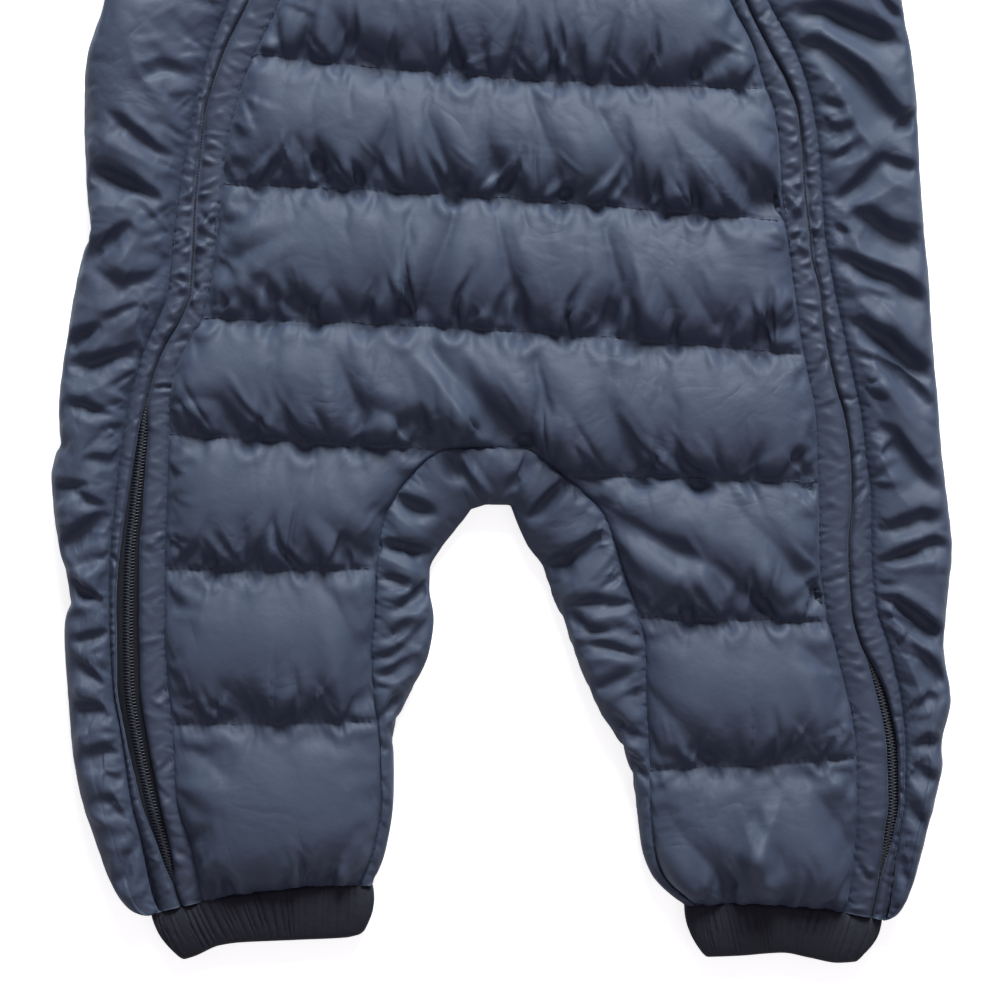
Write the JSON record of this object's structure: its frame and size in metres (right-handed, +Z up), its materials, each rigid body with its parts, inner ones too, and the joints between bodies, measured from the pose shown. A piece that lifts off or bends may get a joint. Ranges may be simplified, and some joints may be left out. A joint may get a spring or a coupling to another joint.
{
  "type": "quilted baby snowsuit",
  "caption": "Padded, quilted baby snowsuit lying flat on its back, with a zip from the collar to each ankle and gathered cuffs.",
  "frame": {"origin": "centre of the bounding box at the surface that the suit lies on", "axes": "+X to the wearer's left, +Y from the ankles to the neck, +Z up from the surface to the front of the suit"},
  "size_m": [0.7316, 0.635, 0.026],
  "materials": {
    "shell": "satin coated nylon",
    "welt": "satin coated nylon",
    "cuff": "matt",
    "zip_tape": "matt woven tape with a plastic coil",
    "zip_metal": "satin"
  },
  "bodies": {
    "suit": {"front": "shell", "back": "shell", "side_right": "shell", "side_left": "shell", "gusset": "shell", "welt_right_outer": "welt", "welt_right_inner": "welt", "welt_left_inner": "welt", "welt_left_outer": "welt", "zip_right": "zip_tape", "zip_left": "zip_tape", "sleeve_right": "shell", "sleeve_left": "shell", "cuff_wrist_right": "cuff", "cuff_wrist_left": "cuff", "cuff_ankle_right": "cuff", "cuff_ankle_left": "cuff", "collar_front": "shell", "collar_back": "shell", "slider_right": "zip_metal", "slider_left": "zip_metal"},
    "pull_right": {"pull_right": "zip_metal"},
    "pull_left": {"pull_left": "zip_metal"}
  },
  "joints": [
    {"name": "pull_right_hinge", "type": "hinge", "parent": "suit", "child": "pull_right", "pos_m": [-0.048, 0.28749, 0.0196], "axis": [-1, 0, 0], "range_deg": [0, 180]},
    {"name": "pull_left_hinge", "type": "hinge", "parent": "suit", "child": "pull_left", "pos_m": [0.048, 0.28749, 0.0196], "axis": [-1, 0, 0], "range_deg": [0, 180]}
  ]
}
